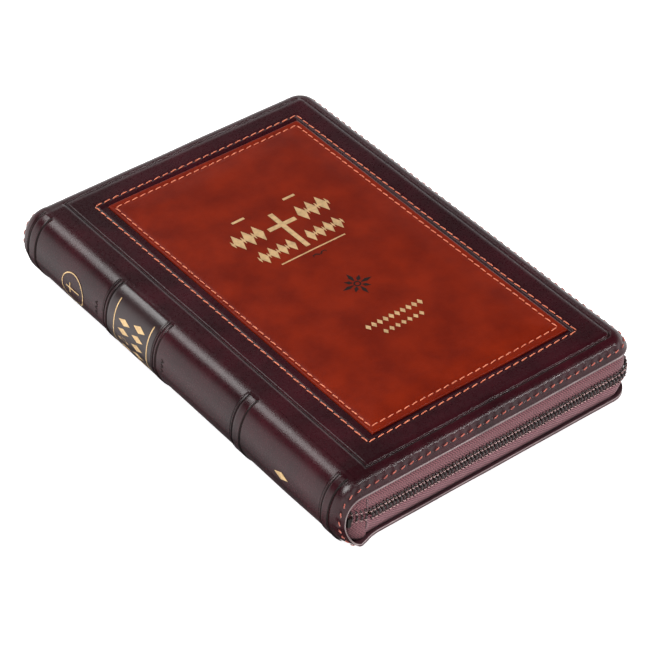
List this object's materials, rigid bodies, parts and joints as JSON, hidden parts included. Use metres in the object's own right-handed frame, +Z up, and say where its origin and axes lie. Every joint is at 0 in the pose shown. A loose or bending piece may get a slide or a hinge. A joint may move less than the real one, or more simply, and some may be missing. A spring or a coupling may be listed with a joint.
{
  "type": "zipped leather bible",
  "caption": "Zip-round leather-look bible with padded covers, rounded banded spine, turning pages and a zip slider with pull tab.",
  "frame": {"origin": "on the surface the book lies on, under the middle of its outline between spine and fore-edge and between tail and head", "axes": "+X from spine to fore-edge, +Y from tail to head, +Z up through the front cover"},
  "size_m": [0.1522, 0.2217, 0.034],
  "materials": {
    "burgundy_leather": "smooth, fairly glossy, very dark burgundy, fine grain",
    "tan_leather": "smooth satin, mottled tan",
    "foam": "matt foam sheet, hidden",
    "board": "grey board, hidden",
    "lining": "satin leather-look lining",
    "zip_tape": "woven, matt",
    "zip_coil": "glossy nylon",
    "zip_metal": "gunmetal plating, satin",
    "pages": "thin matt paper with gilt edges",
    "endpaper": "matt paper",
    "cloth": "woven, matt"
  },
  "bodies": {
    "back_cover": {"back_leather": "burgundy_leather", "back_pad": "foam", "back_board": "board", "back_lining": "lining", "back_zip_tape": "zip_tape", "back_zip_coil": "zip_coil", "back_zip_stop": "zip_metal", "back_endpaper": "endpaper", "text_block": "pages", "spine_cloth": "cloth", "head_band": "cloth", "tail_band": "cloth"},
    "spine": {"spine_leather": "burgundy_leather", "spine_stiffener": "board", "band_head": "board", "band_upper": "board", "band_title": "board", "band_lower": "board", "band_tail": "board", "zip_tail_tape": "zip_tape", "zip_tail_coil": "zip_coil", "zip_tail_stop": "zip_metal"},
    "front_cover": {"front_leather": "burgundy_leather", "tan_panel": "tan_leather", "front_pad": "foam", "front_board": "board", "front_lining": "lining", "front_zip_tape": "zip_tape", "front_zip_coil": "zip_coil", "front_zip_stop": "zip_metal"},
    "first_pages": {"first_section": "pages"},
    "fly_leaf": {"flyleaf": "endpaper"},
    "slider": {"zip_slider": "zip_metal"},
    "pull": {"zip_pull": "zip_metal"}
  },
  "joints": [
    {"name": "front_cover_open", "type": "hinge", "parent": "spine", "child": "front_cover", "pos_m": [-0.062, 0, 0.034], "axis": [0, -1, 0], "range_deg": [0, 175]},
    {"name": "spine_lean", "type": "hinge", "parent": "back_cover", "child": "spine", "pos_m": [-0.062, 0, 0], "axis": [0, -1, 0], "range_deg": [0, 15]},
    {"name": "flyleaf_turn", "type": "hinge", "parent": "back_cover", "child": "fly_leaf", "pos_m": [-0.062, 0, 0.0276], "axis": [0, -1, 0], "range_deg": [0, 130]},
    {"name": "first_pages_turn", "type": "hinge", "parent": "back_cover", "child": "first_pages", "pos_m": [-0.062, 0, 0.0276], "axis": [0, -1, 0], "range_deg": [0, 122]},
    {"name": "zip_run", "type": "slide", "parent": "back_cover", "child": "slider", "axis": [1, 0, 0], "range_m": [0, 0.1], "deforming": ["front_zip_coil", "back_zip_coil"]},
    {"name": "pull_swing", "type": "hinge", "parent": "slider", "child": "pull", "pos_m": [-0.052, 0.11115, 0.017], "axis": [0, 0, 1], "range_deg": [0, 180]}
  ],
  "couplings": [
    {"joint": "spine_lean", "follows": "front_cover_open", "ratio": 0.085714},
    {"joint": "flyleaf_turn", "follows": "front_cover_open", "ratio": 0.74286},
    {"joint": "first_pages_turn", "follows": "front_cover_open", "ratio": 0.69714},
    {"joint": "zip_run", "follows": "front_cover_open", "m_per_rad": 0.03274}
  ]
}
